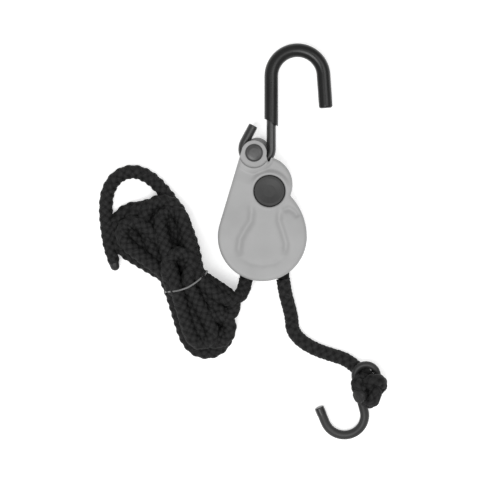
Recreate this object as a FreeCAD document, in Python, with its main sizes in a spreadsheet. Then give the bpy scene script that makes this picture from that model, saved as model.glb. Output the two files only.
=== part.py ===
"""A small rope ratchet: a cased, ratcheting pulley with an S-hook on top, a rope through it,
a smaller hook on the rope's load end and the rest of the rope tied in a hank.

It lies flat. The origin is the middle of the back shell's flat outer face, on the axis of the
case's large round end. +Z goes from the back shell to the front shell, +Y towards the upper
hook and +X to the load side. Millimetres.
"""
import FreeCAD
import Part
import Sketcher
import math
import os

Vector = FreeCAD.Vector
Rotation = FreeCAD.Rotation
Placement = FreeCAD.Placement

SIZES = {
    # case, seen from the front
    "case_radius": 22.5, "bulge_radius": 30.0,
    "lobe_x": 0.97, "lobe_y": 26.3, "lobe_radius": 14.3, "lobe_bay_radius": 9.2,
    "notch_x": 3.1, "notch_y": 36.8, "notch_mouth": 4.6, "lug_foot": 40.9,
    "front_lug_x": -4.17, "front_lug_y": 42.4, "front_lug_radius": 6.4,
    "back_lug_x": -2.5, "back_lug_y": 44.3, "back_lug_radius": 6.2,
    # case, through its thickness
    "case_thickness": 18.0, "mid_height": 9.0, "wall": 2.0, "edge_round": 1.6,
    "corner_round": 0.5,
    "lug_step": 1.9, "lug_step_radius": 7.7, "hook_gap": 5.4, "hook_slot_radius": 11.6,
    # rope and the pulley that it goes round
    "rope_diameter": 6.35, "rope_channel_radius": 3.7, "rope_exit": -21.4,
    "sheave_x": 1.2, "pitch_radius": 9.45, "flange_radius": 13.2, "groove_radius": 5.85,
    "groove_width": 7.2, "sheave_width": 8.6, "bush_radius": 3.5, "bush_bore": 2.55,
    "axle_radius": 2.5, "axle_inset": 1.2, "axle_boss_radius": 4.6, "axle_boss_height": 1.7,
    "washer_radius": 5.6, "washer_thickness": 0.6, "back_washer_height": 2.1,
    "front_washer_height": 13.5,
    # ratchet and pawl
    "ratchet_radius": 14.2, "tooth_depth": 2.0, "tooth_count": 12, "first_tooth": 98.0,
    "ratchet_height": 2.85, "ratchet_thickness": 1.75,
    "pawl_x": 11.4, "pawl_y": 15.9, "pawl_eye_radius": 2.6, "pawl_pin_radius": 1.25,
    "pawl_bay_radius": 3.8, "pawl_collar_height": 4.75, "pin_clearance": 0.05,
    # release button
    "button_x": 3.6, "button_y": 23.1, "button_hole_radius": 8.1, "button_radius": 7.85,
    "button_thickness": 3.4, "button_dish": 0.35, "guide_radius": 9.1, "guide_height": 9.7,
    "retainer_thickness": 1.2, "retainer_hole": 3.0, "retainer_rim": 1.0,
    "stem_radius": 2.75, "stem_foot": 7.4,
    "wedge_y": 20.0, "wedge_half_width": 1.0, "wedge_low": 4.9, "wedge_slope": 0.6,
    "foot_thickness": 1.0, "button_spring_radius": 5.4, "button_spring_wire": 0.55,
    "button_spring_pitch": 1.42,
    "pawl_spring_radius": 1.95, "pawl_spring_wire": 0.5, "pawl_spring_pitch": 0.62,
    # fasteners
    "post_radius": 2.6, "screw_hole": 1.25, "screw_radius": 1.2, "screw_head_radius": 2.3,
    "screw_head_height": 1.2, "screw_sink": 1.5, "screw_sink_radius": 2.5, "screw_length": 14.0,
    "hook_pin_radius": 1.6, "rivet_head_radius": 4.5, "rivet_head_height": 1.5,
    "tail_head_radius": 3.2, "tail_head_height": 0.9, "pin_washer_radius": 4.2,
    # upper hook: a rod bent into an S, with a soft sleeve on its large bend
    "rod_radius": 2.38, "shank_x": 4.6, "loop_y": 44.7, "loop_radius": 7.2,
    "bend_y": 81.5, "bend_radius": 13.3, "tip_flare": 4.0, "tip_leg": 16.1,
    "loop_end": 152.0, "loop_leg": 9.6, "sleeve_bore": 2.4, "sleeve_radius": 3.5,
    "sleeve_start": 58.1, "sleeve_slant": 29.0, "sleeve_end_wall": 1.0,
    "sleeve_end_round": 1.1, "rod_end_round": 0.5,
    # lower hook, measured in its own plane from the middle of its eye
    "eye_x": 52.8, "eye_y": -70.5, "eye_height": 9.3, "eye_radius": 5.7, "wire_radius": 1.8,
    "jaw_x": -11.1, "jaw_y": -20.9, "jaw_radius": 10.4, "jaw_end": 202.0, "jaw_leg": 7.9,
    "coat_bore": 1.83, "coat_radius": 2.3, "coat_bare_leg": 7.0, "cap_radius": 2.45,
    "cap_length": 3.2, "cap_end_round": 0.7, "hook_slope": 11.6, "slope_heading": 250.5,
    # knot, hank and tie
    "knot_x": 54.0, "knot_y": -77.2, "knot_height": 14.2, "knot_half_x": 9.2,
    "knot_half_y": 9.5, "knot_half_z": 7.4, "knot_clearance": 2.7,
    "tie_x": -38.9, "tie_y": -23.4, "hank_heading": 116.0, "tie_half_width": 11.3,
    "tie_half_height": 10.2, "tie_thickness": 0.6, "tie_width": 1.6,
    "tip_length": 4.2, "tip_radius": 2.6,
}

SCREWS = (("low", 1.2, -17.3), ("side", -16.5, 8.5), ("high", -9.0, 28.0))

# Rope routes: the corners of the straight runs, chosen by hand. The rope lies at half its
# diameter over the table except where it leaves the case, the hank or the hook's eye.
RIGHT_RUN = [
    (10.65, -21.4, 9.0), (11.5, -27.8, 8.4), (13.4, -34.6, 5.2), (15.1, -41.2, 3.3),
    (15.4, -47.8, 3.2), (19.9, -53.2, 3.2), (26.9, -57.3, 3.2), (34.9, -60.1, 3.2),
    (42.9, -62.4, 3.2), (49.6, -67.9, 3.2), (52.7, -70.6, 7.4), (52.8, -70.9, 13.2),
]
LEFT_RUN = [
    (-8.25, -21.4, 9.0), (-9.0, -26.6, 9.3), (-12.4, -31.4, 11.4), (-18.2, -32.0, 13.6),
]
FREE_END = [
    (-45.0, 16.6, 8.2), (-50.6, 23.9, 5.2), (-57.3, 30.6, 3.3), (-65.8, 34.0, 3.2),
    (-74.4, 30.9, 3.2), (-79.2, 22.9, 3.2), (-79.9, 12.9, 3.2), (-78.9, 3.0, 3.2),
    (-77.4, -6.3, 3.2), (-75.4, -13.4, 3.2),
]
# Hank cross-sections along its axis: distance from the tie, the two sides and the height.
HANK_SECTIONS = [
    (49.5, -10.0, 0.0, 5.5), (45.0, -18.5, 8.0, 9.0), (36.0, -22.0, 15.0, 12.0),
    (25.0, -20.5, 18.0, 14.0), (12.0, -14.5, 14.5, 17.0), (0.0, -11.0, 11.0, 20.0),
    (-10.0, -13.3, 15.0, 18.0), (-20.0, -15.5, 20.5, 15.0), (-30.0, -14.5, 13.5, 12.5),
    (-38.0, -9.0, 5.5, 9.0), (-41.0, -5.0, 1.5, 5.5),
]
HANK_FLOOR = 0.75

doc = FreeCAD.newDocument("rope_ratchet")
sheet = doc.addObject("Spreadsheet::Sheet", "Sizes")
for row, (alias, number) in enumerate(SIZES.items(), start=1):
    sheet.set("A%d" % row, alias)
    sheet.set("B%d" % row, str(number))
    sheet.setAlias("B%d" % row, alias)
doc.recompute()

parts = {}


def size(alias):
    """The number that the sheet holds under an alias."""
    return float(getattr(sheet, alias))


def cell(text):
    """An expression on the sheet, from bare aliases, numbers and signs."""
    words = text.replace("(", " ( ").replace(")", " ) ").split()
    bound = " ".join("Sizes." + word if word in SIZES else word for word in words)
    return bound if "Sizes." in bound else "( %s ) * 1 mm" % bound


def bind(item, **sizes):
    for name, text in sizes.items():
        item.setExpression(name, cell(text))


def place(item, x="0", y="0", z="0", axis=(0, 0, 1), angle=0.0):
    item.Placement = Placement(Vector(), Rotation(Vector(*axis), angle))
    for name, text in (("x", x), ("y", y), ("z", z)):
        item.setExpression("Placement.Base." + name, cell(text))
    return item


def part(node, item):
    """Name an object as a sub-part; its label is its file's name."""
    item.Label = node
    parts[node] = item
    return item


# ---------------------------------------------------------------- Part primitives

def cylinder(name, radius, height, **where):
    item = doc.addObject("Part::Cylinder", name)
    bind(item, Radius=radius, Height=height)
    return place(item, **where)


def ring_arc(name, radius, rod, sweep, **where):
    item = doc.addObject("Part::Torus", name)
    bind(item, Radius1=radius, Radius2=rod)
    item.Angle3 = sweep
    return place(item, **where)


def box(name, length, width, height, **where):
    item = doc.addObject("Part::Box", name)
    bind(item, Length=length, Width=width, Height=height)
    return place(item, **where)


def fuse(name, items):
    item = doc.addObject("Part::MultiFuse", name)
    item.Shapes = items
    return item


def cut(name, base, tool):
    item = doc.addObject("Part::Cut", name)
    item.Base = base
    item.Tool = tool
    return item


def feature(name, shape):
    item = doc.addObject("Part::Feature", name)
    item.Shape = shape
    return item


# ---------------------------------------------------------------- PartDesign helpers

def new_body(name):
    return doc.addObject("PartDesign::Body", name + "_body")


def origin_item(body, role):
    return next(item for item in body.Origin.OriginFeatures if item.Role == role)


def new_sketch(body, name, height="0", role="XY_Plane"):
    sketch = body.newObject("Sketcher::SketchObject", name)
    sketch.AttachmentSupport = [(origin_item(body, role), "")]
    sketch.MapMode = "FlatFace"
    sketch.setExpression("AttachmentOffset.Base.z", cell(height))
    return sketch


def pin_point(sketch, geometry, point, x=None, y=None):
    """Tie a point of a sketch to its distances from the sketch's origin."""
    where = sketch.getPoint(geometry, point)
    for kind, text, number in (("DistanceX", x, where.x), ("DistanceY", y, where.y)):
        if text is not None:
            row = sketch.addConstraint(
                Sketcher.Constraint(kind, -1, 1, geometry, point, number or 0.01))
            sketch.setExpression("Constraints[%d]" % row, cell(text))


def set_radius(sketch, geometry, text):
    number = sketch.Geometry[geometry].Radius
    row = sketch.addConstraint(Sketcher.Constraint("Radius", geometry, number))
    sketch.setExpression("Constraints[%d]" % row, cell(text))


def add_circle(sketch, x, y, radius):
    row = sketch.addGeometry(Part.Circle(Vector(1, 1, 0), Vector(0, 0, 1), 1.0), False)
    pin_point(sketch, row, 3, x, y)
    set_radius(sketch, row, radius)


def add_polygon(sketch, corners):
    """A closed polygon whose corners are pairs of expressions."""
    count = len(corners)
    spots = [Vector(20 + 10 * math.cos(2 * math.pi * i / count),
                    10 * math.sin(2 * math.pi * i / count), 0) for i in range(count)]
    first = sketch.GeometryCount
    for i in range(count):
        sketch.addGeometry(Part.LineSegment(spots[i], spots[(i + 1) % count]), False)
    for i in range(count):
        sketch.addConstraint(
            Sketcher.Constraint("Coincident", first + i, 2, first + (i + 1) % count, 1))
    for i, (x, y) in enumerate(corners):
        pin_point(sketch, first + i, 1, x, y)


def pad(body, sketch, length, reverse=False):
    item = body.newObject("PartDesign::Pad", sketch.Name + "_pad")
    item.Profile = sketch
    item.Reversed = reverse
    bind(item, Length=length)
    return item


def pocket(body, sketch, depth, reverse=False):
    """Cut a sketch's shape away and make sure that it met the solid."""
    doc.recompute()
    before = body.Shape.Volume
    item = body.newObject("PartDesign::Pocket", sketch.Name + "_pocket")
    item.Profile = sketch
    item.Reversed = reverse
    bind(item, Length=depth)
    doc.recompute()
    if body.Shape.Volume > before - 0.01:
        raise RuntimeError(item.Name + " cuts nothing")
    return item


def revolve(body, sketch):
    item = body.newObject("PartDesign::Revolution", sketch.Name + "_turned")
    item.Profile = sketch
    item.ReferenceAxis = (origin_item(body, "Z_Axis"), [""])
    item.Angle = 360
    return item


def turned(node, profile, x="0", y="0", z="0"):
    """A round piece from its half section, turned about Z."""
    body = new_body(node)
    sketch = new_sketch(body, node + "_section", role="XZ_Plane")
    add_polygon(sketch, profile)
    revolve(body, sketch)
    place(body, x, y, z)
    return part(node, body)


# ---------------------------------------------------------------- case shells

def shell_outline(sketch, lug):
    """The pear-shaped outline: large end, side bulge, button lobe, hook notch and lug."""
    large, bulge, lobe = size("case_radius"), size("bulge_radius"), size("lobe_radius")
    lobe_at = Vector(size("lobe_x"), size("lobe_y"), 0)
    lug_at = Vector(size(lug + "_x"), size(lug + "_y"), 0)
    lug_radius = size(lug + "_radius")
    bulge_at = Vector(large - bulge, 0, 0)
    side = math.atan2(lug_at.y, lug_at.x) + math.acos((large - lug_radius) / lug_at.Length)
    apart = lobe_at - bulge_at
    along = (apart.Length ** 2 + bulge ** 2 - lobe ** 2) / (2 * apart.Length)
    off = math.sqrt(bulge ** 2 - along ** 2)
    unit = apart / apart.Length
    corner = bulge_at + unit * along + Vector(unit.y, -unit.x, 0) * off
    mouth_x = size("notch_mouth")
    mouth = Vector(mouth_x, lobe_at.y + math.sqrt(lobe ** 2 - (mouth_x - lobe_at.x) ** 2), 0)
    notch = Vector(size("notch_x"), size("notch_y"), 0)
    foot_y = size("lug_foot")
    foot = Vector(lug_at.x + math.sqrt(lug_radius ** 2 - (foot_y - lug_at.y) ** 2), foot_y, 0)

    def angle(point, centre):
        return math.atan2(point.y - centre.y, point.x - centre.x)

    def arc(centre, radius, start, end):
        circle = Part.Circle(centre, Vector(0, 0, 1), radius)
        return sketch.addGeometry(Part.ArcOfCircle(circle, start, end), False)

    def line(start, end):
        return sketch.addGeometry(Part.LineSegment(start, end), False)

    normal = Vector(math.cos(side), math.sin(side), 0)
    g_large = arc(Vector(), large, side, 2 * math.pi)
    g_bulge = arc(bulge_at, bulge, 0, angle(corner, bulge_at))
    g_lobe = arc(lobe_at, lobe, angle(corner, lobe_at), angle(mouth, lobe_at))
    g_into = line(mouth, notch)
    g_out = line(notch, foot)
    g_lug = arc(lug_at, lug_radius, angle(foot, lug_at), side)
    g_side = line(lug_at + normal * lug_radius, normal * large)

    def join(kind, one, end, other, start):
        sketch.addConstraint(Sketcher.Constraint(kind, one, end, other, start))

    join("Coincident", g_large, 3, -1, 1)
    set_radius(sketch, g_large, "case_radius")
    sketch.addConstraint(Sketcher.Constraint("PointOnObject", g_bulge, 3, -1))
    set_radius(sketch, g_bulge, "bulge_radius")
    join("Tangent", g_large, 2, g_bulge, 1)
    pin_point(sketch, g_lobe, 3, "lobe_x", "lobe_y")
    set_radius(sketch, g_lobe, "lobe_radius")
    join("Coincident", g_bulge, 2, g_lobe, 1)
    join("Coincident", g_lobe, 2, g_into, 1)
    pin_point(sketch, g_into, 1, x="notch_mouth")
    join("Coincident", g_into, 2, g_out, 1)
    pin_point(sketch, g_out, 1, "notch_x", "notch_y")
    join("Coincident", g_out, 2, g_lug, 1)
    pin_point(sketch, g_lug, 1, y="lug_foot")
    pin_point(sketch, g_lug, 3, lug + "_x", lug + "_y")
    set_radius(sketch, g_lug, lug + "_radius")
    join("Tangent", g_lug, 2, g_side, 1)
    join("Tangent", g_side, 2, g_large, 1)
    return [corner, mouth, notch, foot]


def round_edges(body, name, base, radius, chosen):
    """Round the edges of a feature that pass a test on their two ends."""
    doc.recompute()
    names = ["Edge%d" % (i + 1) for i, edge in enumerate(base.Shape.Edges)
             if chosen(*(vertex.Point for vertex in edge.Vertexes))]
    item = body.newObject("PartDesign::Fillet", body.Name + name)
    item.Base = (base, names)
    bind(item, Radius=radius)
    return item


def round_rim(body, blank, corners, height):
    """Ease the outline's sharp corners, then round the outer rim at one height."""
    def upright_at_corner(low, high):
        return math.hypot(low.x - high.x, low.y - high.y) < 0.01 and any(
            math.hypot(low.x - corner.x, low.y - corner.y) < 0.01 for corner in corners)

    def on_rim(start, end):
        return abs(start.z - height) < 0.01 and abs(end.z - height) < 0.01

    eased = round_edges(body, "_corners", blank, "corner_round", upright_at_corner)
    round_edges(body, "_rim", eased, "edge_round", on_rim)


def circle_sketch(body, name, height, circles, role="XY_Plane"):
    sketch = new_sketch(body, name, height, role)
    for x, y, radius in circles:
        add_circle(sketch, x, y, radius)
    return sketch


def half_shell(node, lug, front):
    """One shell: outline, rounded rim, cavity, hook slot, rope channels, posts and bosses."""
    body = new_body(node)
    up = not front
    face = "case_thickness" if front else "0"
    mid = "mid_height"
    outline = new_sketch(body, node + "_outline", mid)
    corners = shell_outline(outline, lug)
    blank = pad(body, outline, "case_thickness - mid_height" if front else "mid_height",
                reverse=not front)
    round_rim(body, blank, corners, size("case_thickness") if front else 0.0)

    depth = "mid_height - wall"
    cavities = (("main", "0", "0", "case_radius - wall"),
                ("lobe", "lobe_x", "lobe_y", "lobe_bay_radius"),
                ("button", "button_x", "button_y", "guide_radius + 0.3"),
                ("pawl", "pawl_x", "pawl_y", "pawl_bay_radius"))
    for name, x, y, radius in cavities:
        pocket(body, circle_sketch(body, "%s_%s_cavity" % (node, name), mid,
                                   [(x, y, radius)]), depth, reverse=front)
    slot = circle_sketch(body, node + "_hook_slot", mid,
                         [("front_lug_x", "front_lug_y", "hook_slot_radius")])
    pocket(body, slot, "hook_gap / 2", reverse=front)
    step = circle_sketch(body, node + "_lug_step", face,
                         [(lug + "_x", lug + "_y", "lug_step_radius")])
    pocket(body, step, "lug_step", reverse=up)
    channels = circle_sketch(body, node + "_rope_channels", "0", role="XZ_Plane", circles=[
        ("sheave_x - pitch_radius", mid, "rope_channel_radius"),
        ("sheave_x + pitch_radius", mid, "rope_channel_radius")])
    pocket(body, channels, "case_radius + 2", reverse=True)

    inner = "case_thickness - wall" if front else "wall"
    posts = circle_sketch(body, node + "_posts", inner,
                          [(str(x), str(y), "post_radius") for _, x, y in SCREWS])
    pad(body, posts, depth, reverse=front)
    if front:
        boss = circle_sketch(body, node + "_axle_boss", inner,
                             [("sheave_x", "0", "axle_boss_radius")])
        pad(body, boss, "axle_boss_height", reverse=True)
    pin_seats = circle_sketch(body, node + "_pin_seats",
                              "case_thickness - axle_inset" if front else "axle_inset",
                              [("sheave_x", "0", "axle_radius + pin_clearance"),
                               ("pawl_x", "pawl_y", "pawl_pin_radius + pin_clearance")])
    pocket(body, pin_seats, depth, reverse=not front)
    lug_hole = circle_sketch(body, node + "_lug_hole", mid,
                             [("front_lug_x", "front_lug_y", "hook_pin_radius + pin_clearance")])
    pocket(body, lug_hole, mid, reverse=front)
    return body


def front_shell():
    node = "front_shell"
    body = half_shell(node, "front_lug", True)
    guide = circle_sketch(body, "button_guide", "guide_height",
                          [("button_x", "button_y", "guide_radius")])
    pad(body, guide, "case_thickness - wall - guide_height")
    hole = circle_sketch(body, "button_hole", "case_thickness",
                         [("button_x", "button_y", "button_hole_radius")])
    pocket(body, hole, "case_thickness - mid_height")
    pilots = circle_sketch(body, "screw_pilots", "mid_height",
                           [(str(x), str(y), "screw_hole") for _, x, y in SCREWS])
    pocket(body, pilots, "screw_length + screw_sink - mid_height + 0.3", reverse=True)
    part(node, body)


def back_shell():
    node = "back_shell"
    body = half_shell(node, "back_lug", False)
    holes = circle_sketch(body, "screw_holes", "0",
                          [(str(x), str(y), "screw_hole") for _, x, y in SCREWS])
    pocket(body, holes, "mid_height + 1", reverse=True)
    sinks = circle_sketch(body, "screw_sinks", "0",
                          [(str(x), str(y), "screw_sink_radius") for _, x, y in SCREWS])
    pocket(body, sinks, "screw_sink", reverse=True)
    part(node, body)


def shell_screws():
    screws = []
    for name, x, y in SCREWS:
        head = cylinder("screw_head_" + name, "screw_head_radius", "screw_head_height",
                        x=str(x), y=str(y), z="screw_sink - screw_head_height")
        shank = cylinder("screw_shank_" + name, "screw_radius", "screw_length",
                         x=str(x), y=str(y), z="screw_sink")
        drive = box("screw_slot_" + name, "screw_head_radius * 3", "0.6", "0.5", x="%s - 3.5" % x,
                    y="%s - 0.3" % y, z="screw_sink - screw_head_height - 0.01")
        screws.append(cut("screw_" + name, fuse("screw_blank_" + name, [head, shank]), drive))
    compound = doc.addObject("Part::Compound", "shell_screws_group")
    compound.Links = screws
    part("shell_screws", compound)


# ---------------------------------------------------------------- pulley and ratchet

def sheave():
    low, high = "mid_height - sheave_width / 2", "mid_height + sheave_width / 2"
    groove_low, groove_high = "mid_height - groove_width / 2", "mid_height + groove_width / 2"
    bore = "bush_radius + 0.02"
    turned("sheave", x="sheave_x", profile=[
        (bore, low), ("flange_radius", low), ("flange_radius", groove_low),
        ("groove_radius + 2.05", groove_low + " + 0.2"),
        ("groove_radius + 0.45", groove_low + " + 1.4"), ("groove_radius", "mid_height"),
        ("groove_radius + 0.45", groove_high + " - 1.4"),
        ("groove_radius + 2.05", groove_high + " - 0.2"), ("flange_radius", groove_high),
        ("flange_radius", high), (bore, high)])


def ratchet_wheel():
    """Saw teeth that let the wheel turn anticlockwise and lock it clockwise."""
    pitch = 2 * math.pi / size("tooth_count")
    first = math.radians(size("first_tooth"))
    rim = []
    for tooth in range(int(size("tooth_count"))):
        start = first - tooth * pitch
        for radius, turn in ((size("ratchet_radius"), 0.0),
                             (size("ratchet_radius") - size("tooth_depth"), 0.012)):
            rim.append(Vector(radius * math.cos(start - turn), radius * math.sin(start - turn), 0))
    face = Part.Face(Part.makePolygon(rim + rim[:1]))
    blank = feature("ratchet_blank", face.extrude(Vector(0, 0, size("ratchet_thickness"))))
    place(blank, "sheave_x", "0", "ratchet_height")
    bore = cylinder("ratchet_bore", "bush_radius + 0.02", "ratchet_thickness + 2",
                    x="sheave_x", z="ratchet_height - 1")
    part("ratchet_wheel", cut("ratchet_cut", blank, bore))


def sheave_axle_parts():
    low = "ratchet_height"
    part("sheave_bush", cut("bush_cut",
         cylinder("bush_outer", "bush_radius", "sheave_width + ratchet_thickness + 0.1",
                  x="sheave_x", z=low),
         cylinder("bush_inner", "bush_bore", "sheave_width + 6", x="sheave_x", z="1")))
    part("sheave_axle", cylinder("axle", "axle_radius",
                                 "case_thickness - axle_inset * 2 - 0.2",
                                 x="sheave_x", z="axle_inset + 0.1"))
    washers = []
    for name, height in (("back", "back_washer_height"), ("front", "front_washer_height")):
        disc = cylinder("washer_disc_" + name, "washer_radius", "washer_thickness",
                        x="sheave_x", z=height)
        hole = cylinder("washer_hole_" + name, "bush_bore", "4", x="sheave_x",
                        z=height + " - 1")
        washers.append(cut("washer_" + name, disc, hole))
    compound = doc.addObject("Part::Compound", "washer_pair")
    compound.Links = washers
    part("sheave_washers", compound)


def pawl():
    """A bell crank: its nose sits in the ratchet and its window takes the release wedge."""
    body = new_body("pawl")
    plate = new_sketch(body, "pawl_plate", "ratchet_height")
    add_polygon(plate, [
        ("-0.28", "12.45"), ("2.8", "14.95"), ("pawl_x - 1.2", "pawl_y - 2.25"),
        ("pawl_x - 0.6", "pawl_y + 2.5"), ("button_x + 3", "wedge_y + 3"),
        ("button_x - 4.2", "wedge_y + 3"), ("button_x - 4.5", "wedge_y - 3.6"),
        ("-0.72", "14.7")])
    pad(body, plate, "ratchet_thickness")
    eye = circle_sketch(body, "pawl_eye", "ratchet_height",
                        [("pawl_x", "pawl_y", "pawl_eye_radius")])
    pad(body, eye, "ratchet_thickness")
    window = new_sketch(body, "pawl_window", "ratchet_height")
    left, right = "button_x - wedge_half_width - 1.35", "button_x + wedge_half_width + 0.4"
    low, high = "wedge_y - 3.3", "wedge_y + 1.3"
    add_polygon(window, [(left, low), (right, low), (right, high), (left, high)])
    pocket(body, window, "ratchet_thickness + 1", reverse=True)
    hole = circle_sketch(body, "pawl_hole", "ratchet_height",
                         [("pawl_x", "pawl_y", "pawl_pin_radius + pin_clearance")])
    pocket(body, hole, "ratchet_thickness + 1", reverse=True)
    part("pawl", body)
    part("pawl_pin", cylinder("pawl_pin_rod", "pawl_pin_radius",
                              "case_thickness - axle_inset * 2 - 0.2",
                              x="pawl_x", y="pawl_y", z="axle_inset + 0.1"))


def coil_spring(name, radius, wire, pitch, height, **where):
    helix = doc.addObject("Part::Helix", name + "_line")
    helix.SegmentLength = 0.5
    bind(helix, Radius=radius, Pitch=pitch, Height=height)
    section = doc.addObject("Part::Circle", name + "_wire")
    bind(section, Radius=wire + " / 2")
    place(section, x=radius, axis=(1, 0, 0), angle=90)
    coil = doc.addObject("Part::Sweep", name + "_coil")
    coil.Sections = [section]
    coil.Spine = (helix, [])
    coil.Solid = True
    coil.Frenet = True
    return place(coil, **where)


def springs():
    """The button's spring, between its guide and its underside, and the pawl's, on its collar."""
    gap = "case_thickness - button_thickness - guide_height"
    part("button_spring", coil_spring(
        "button_spring", "button_spring_radius", "button_spring_wire", "button_spring_pitch",
        gap + " - button_spring_wire - 0.1", x="button_x", y="button_y",
        z="guide_height + button_spring_wire / 2 + 0.05"))
    height = "pawl_collar_height + pawl_spring_wire / 2"
    coil = coil_spring("pawl_spring", "pawl_spring_radius", "pawl_spring_wire",
                       "pawl_spring_pitch", "pawl_spring_pitch * 2.5",
                       x="pawl_x", y="pawl_y", z=height, angle=90)
    leg = cylinder("pawl_spring_leg", "pawl_spring_wire / 2", "4.6", axis=(0, 1, 0), angle=-90,
                   x="pawl_x", y="pawl_y + pawl_spring_radius", z=height)
    part("pawl_spring", fuse("pawl_spring_whole", [coil, leg]))


# ---------------------------------------------------------------- release button

def release_button():
    top = "case_thickness"
    under = "case_thickness - button_thickness"
    turned("release_button", x="button_x", y="button_y", profile=[
        ("0", "stem_foot"), ("stem_radius", "stem_foot"), ("stem_radius", under),
        ("button_radius", under), ("button_radius", top + " - 0.4"),
        ("button_radius - 0.4", top), ("button_radius * 0.8", top),
        ("button_radius * 0.4", top + " - button_dish * 0.8"), ("0", top + " - button_dish")])
    rim, floor = "button_hole_radius - 0.04", "guide_height - 0.02"
    turned("button_retainer", x="button_x", y="button_y", profile=[
        ("retainer_hole", "guide_height - retainer_thickness"),
        (rim, "guide_height - retainer_thickness"), (rim, "guide_height + retainer_rim"),
        (rim + " - 1.2", "guide_height + retainer_rim"), (rim + " - 1.2", floor),
        ("retainer_hole", floor)])


def release_wedge():
    """The foot on the button's stem, with the wedge that lifts the pawl."""
    body = new_body("release_wedge")
    foot = new_sketch(body, "wedge_foot", "stem_foot")
    left, right = "button_x - 3.3", "button_x + 3.3"
    add_polygon(foot, [(left, "wedge_y - 1"), (right, "wedge_y - 1"),
                       (right, "button_y + 3.4"), (left, "button_y + 3.4")])
    pad(body, foot, "foot_thickness")
    bore = circle_sketch(body, "wedge_bore", "stem_foot",
                         [("button_x", "button_y", "stem_radius + 0.02")])
    pocket(body, bore, "foot_thickness + 1", reverse=True)
    side = new_sketch(body, "wedge_side", "button_x - wedge_half_width", role="YZ_Plane")
    reach = "( stem_foot - wedge_low ) * wedge_slope"
    add_polygon(side, [("wedge_y - 1", "wedge_low"), ("wedge_y + 0.9", "wedge_low"),
                       ("wedge_y + 0.9 + " + reach, "stem_foot"),
                       ("wedge_y + 0.9 + " + reach, "stem_foot + 0.2"),
                       ("wedge_y - 1", "stem_foot + 0.2")])
    pad(body, side, "wedge_half_width * 2")
    relief = circle_sketch(body, "wedge_relief", "stem_foot - 0.01",
                           [("button_x", "button_y", "stem_radius + 0.02")])
    pocket(body, relief, "foot_thickness", reverse=True)
    part("release_wedge", body)


# ---------------------------------------------------------------- hook pin and upper hook

def hook_pin():
    front = "case_thickness - lug_step"
    head = "rivet_head_radius"
    tail = "lug_step - washer_thickness"
    turned("hook_pin", x="front_lug_x", y="front_lug_y", profile=[
        ("0", tail + " - tail_head_height"),
        ("tail_head_radius * 0.7", tail + " - tail_head_height"),
        ("tail_head_radius", tail), ("hook_pin_radius", tail), ("hook_pin_radius", front),
        (head, front), (head + " - 0.1", front + " + 0.5"),
        (head + " - 0.9", front + " + rivet_head_height * 0.75"),
        (head + " - 2.1", front + " + rivet_head_height * 0.95"),
        ("0", front + " + rivet_head_height")])
    part("pin_washer", cut("pin_washer_cut",
         cylinder("pin_washer_disc", "pin_washer_radius", "washer_thickness - 0.04",
                  x="front_lug_x", y="front_lug_y", z="lug_step - washer_thickness + 0.02"),
         cylinder("pin_washer_hole", "hook_pin_radius + pin_clearance", "4",
                  x="front_lug_x", y="front_lug_y", z="0")))


def polar(x, y, radius, angle):
    turn = math.radians(angle)
    return x + radius * math.cos(turn), y + radius * math.sin(turn)


def rod_between(name, radius, start, end, z):
    """A straight rod in the hook's plane, from one point to another."""
    along = Vector(end[0] - start[0], end[1] - start[1], 0)
    item = doc.addObject("Part::Cylinder", name)
    bind(item, Radius=radius)
    item.Height = along.Length
    item.Placement = Placement(Vector(start[0], start[1], z), Rotation(Vector(0, 0, 1), along))
    return item


def round_end(name, item, middle, radius):
    """Round the rim of a rod's flat end, found by the end's middle."""
    doc.recompute()
    rims = [i for i, edge in enumerate(item.Shape.Edges, start=1)
            if isinstance(edge.Curve, Part.Circle)
            and (edge.Curve.Center - middle).Length < 0.05]
    if not rims:
        raise RuntimeError("no rim to round on " + name)
    fillet = doc.addObject("Part::Fillet", name)
    fillet.Base = item
    fillet.Edges = [(i, size(radius), size(radius)) for i in rims]
    return fillet


def tip_leg_ends(longer):
    """Where the large bend's flared tip leg starts and ends."""
    bend = (size("shank_x") + size("bend_radius"), size("bend_y"))
    start = polar(*bend, size("bend_radius"), size("tip_flare"))
    return start, polar(*start, size("tip_leg") + longer, size("tip_flare") - 90.0)


def upper_hook_bend(name, radius, longer):
    """The large bend and its flared tip leg, as rod or as sleeve."""
    flare = size("tip_flare")
    start, end = tip_leg_ends(longer)
    arc = ring_arc(name + "_bend", "bend_radius", radius, 180.0 - flare,
                   x="shank_x + bend_radius", y="bend_y", z="mid_height", angle=flare)
    return [arc, rod_between(name + "_tip", radius, start, end, size("mid_height"))]


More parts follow.
